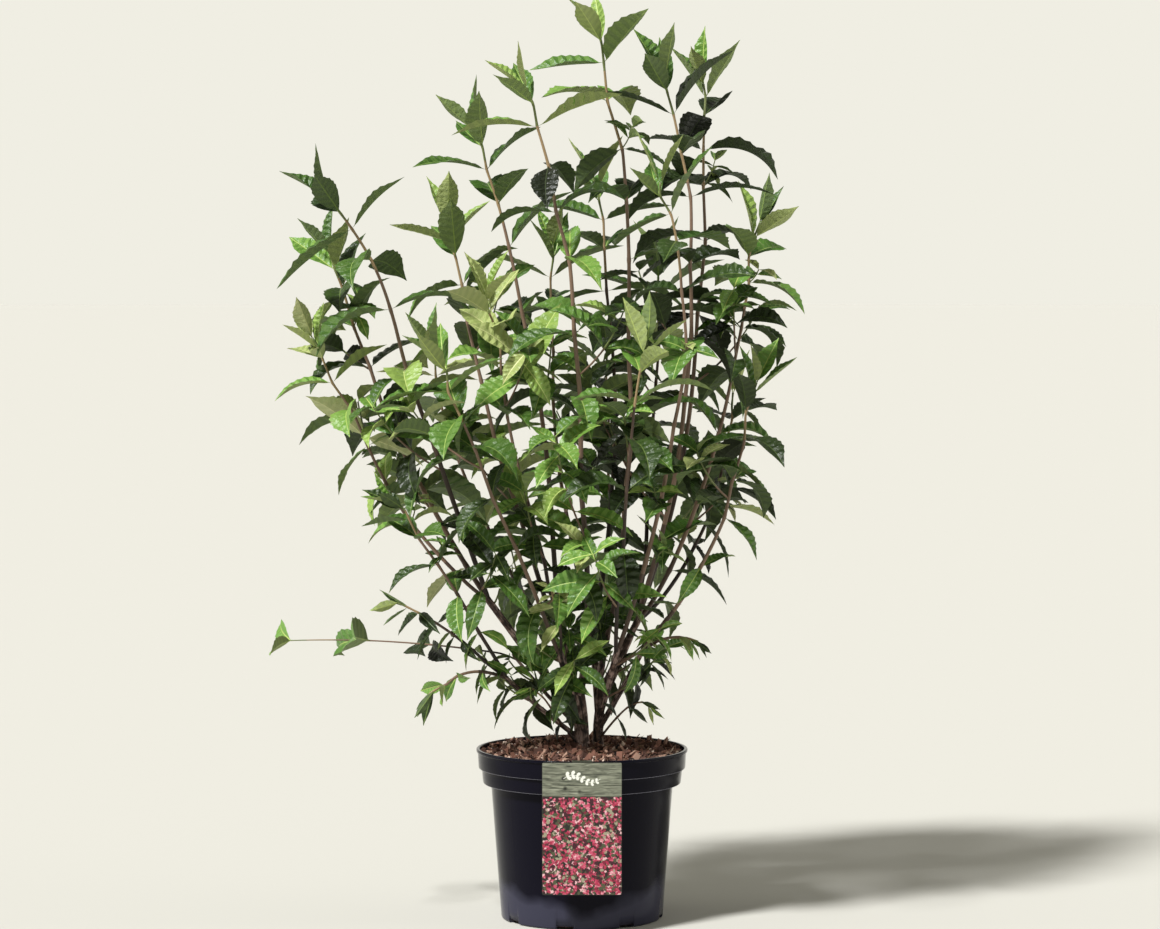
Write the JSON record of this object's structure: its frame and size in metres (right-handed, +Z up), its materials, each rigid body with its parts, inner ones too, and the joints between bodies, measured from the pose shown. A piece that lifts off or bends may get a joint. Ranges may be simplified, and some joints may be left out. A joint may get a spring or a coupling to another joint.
{
  "type": "potted weigela shrub",
  "caption": "Leafy deciduous shrub with upright arching canes in opposite leaves, on short woody trunks, in a round black nursery pot with a picture label.",
  "frame": {"origin": "middle of the pot's flat underside, on the ground", "axes": "+Z up along the canes, -Y towards the side with the label, +X to the right as the label is read; the stray shoot reaches out to -X"},
  "size_m": [0.7141, 0.6265, 1.2293],
  "materials": {
    "pot": "glossy blow-moulded black plastic",
    "soil": "loose potting mix with bark chips",
    "label": "printed plastic card with a sheen",
    "trunk": "rough grey-brown bark",
    "bough": "smoother red-brown bark",
    "foliage": "satin green leaves on green and red-brown shoots"
  },
  "bodies": {
    "root": {"pot": "pot", "soil": "soil", "label": "label", "trunk_left": "trunk", "trunk_right": "trunk", "bough_back": "bough", "bough_back_left": "bough", "bough_back_right": "bough", "bough_centre": "bough", "bough_centre_left": "bough", "bough_centre_right": "bough", "bough_front": "bough", "bough_front_right": "bough", "bough_left": "bough", "bough_left_low": "bough", "bough_left_stray": "bough", "bough_right": "bough", "bough_right_low": "bough", "foliage_back": "foliage", "foliage_back_left": "foliage", "foliage_back_left_low": "foliage", "foliage_back_low": "foliage", "foliage_back_mid": "foliage", "foliage_back_right": "foliage", "foliage_back_right_low": "foliage", "foliage_centre": "foliage", "foliage_centre_left": "foliage", "foliage_crown": "foliage", "foliage_front": "foliage", "foliage_front_left": "foliage", "foliage_front_right": "foliage", "foliage_front_tuft": "foliage", "foliage_left_high": "foliage", "foliage_left_low": "foliage", "foliage_left_mid": "foliage", "foliage_left_outer": "foliage", "foliage_left_skirt": "foliage", "foliage_left_spray": "foliage", "foliage_pale": "foliage", "foliage_right_back": "foliage", "foliage_right_low": "foliage", "foliage_right_outer": "foliage", "foliage_right_skirt": "foliage", "foliage_right_top": "foliage", "foliage_sprout_left": "foliage", "foliage_sprout_right": "foliage", "foliage_stray": "foliage"}
  },
  "joints": []
}
